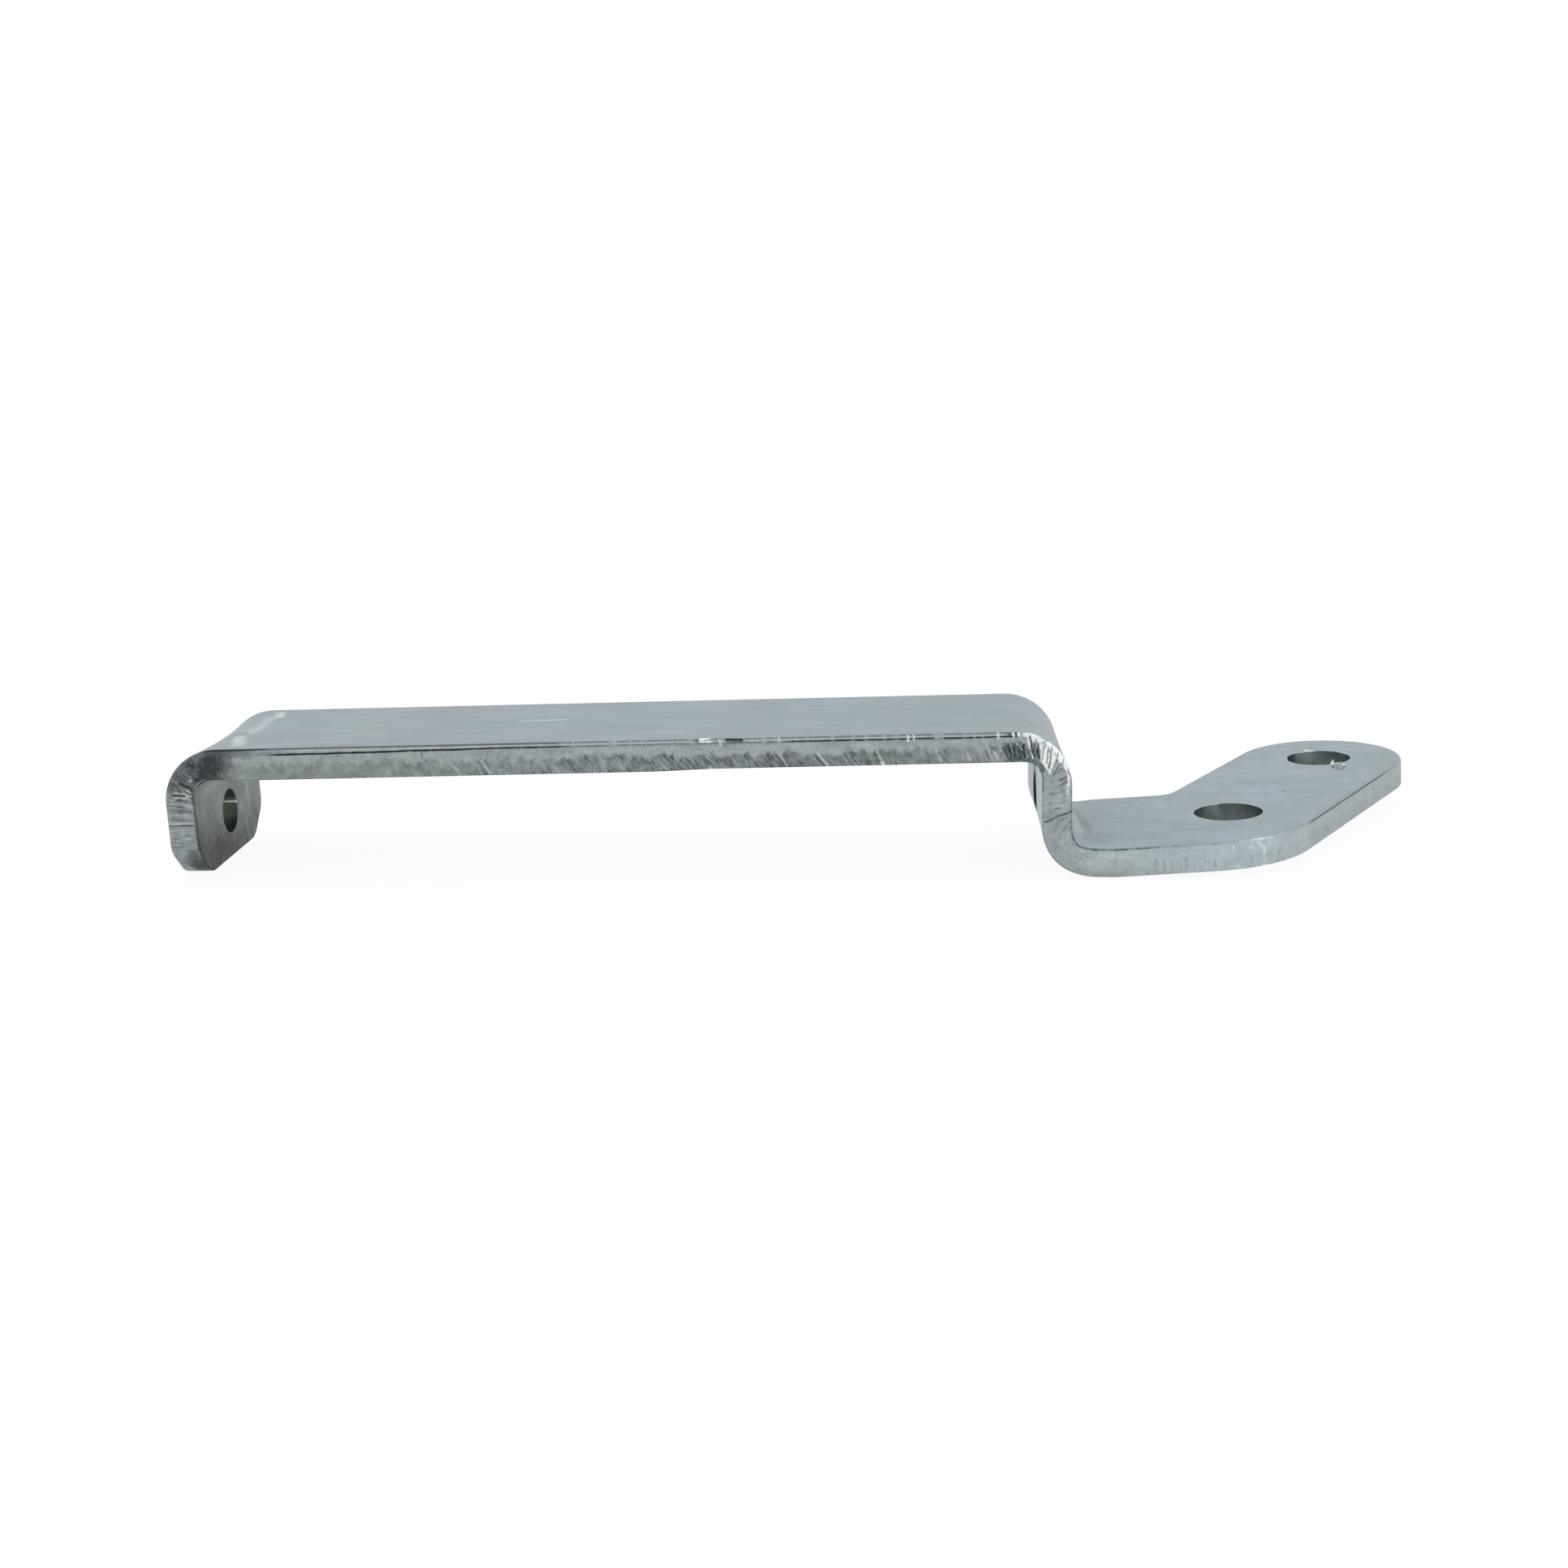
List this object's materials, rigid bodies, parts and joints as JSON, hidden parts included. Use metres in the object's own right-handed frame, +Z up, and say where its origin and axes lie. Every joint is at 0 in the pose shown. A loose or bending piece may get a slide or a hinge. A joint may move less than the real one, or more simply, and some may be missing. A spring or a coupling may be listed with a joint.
{
  "type": "gate bracket",
  "caption": "Folded sheet-steel strip with a pierced ear, a pierced riser and a low angled foot with screw holes, to carry the axle of a small wire gate.",
  "frame": {"origin": "midway between the two screw holes, on the foot's underside", "axes": "+X along the foot away from the riser, +Y towards the foot's round end, +Z up out of the surface that the foot is screwed to"},
  "size_m": [0.0699, 0.0225, 0.01],
  "materials": {
    "zinc_plate": "bright zinc plate with a fine lengthwise grain, sheared edges"
  },
  "bodies": {
    "root": {"gate_bracket": "zinc_plate"}
  },
  "joints": []
}
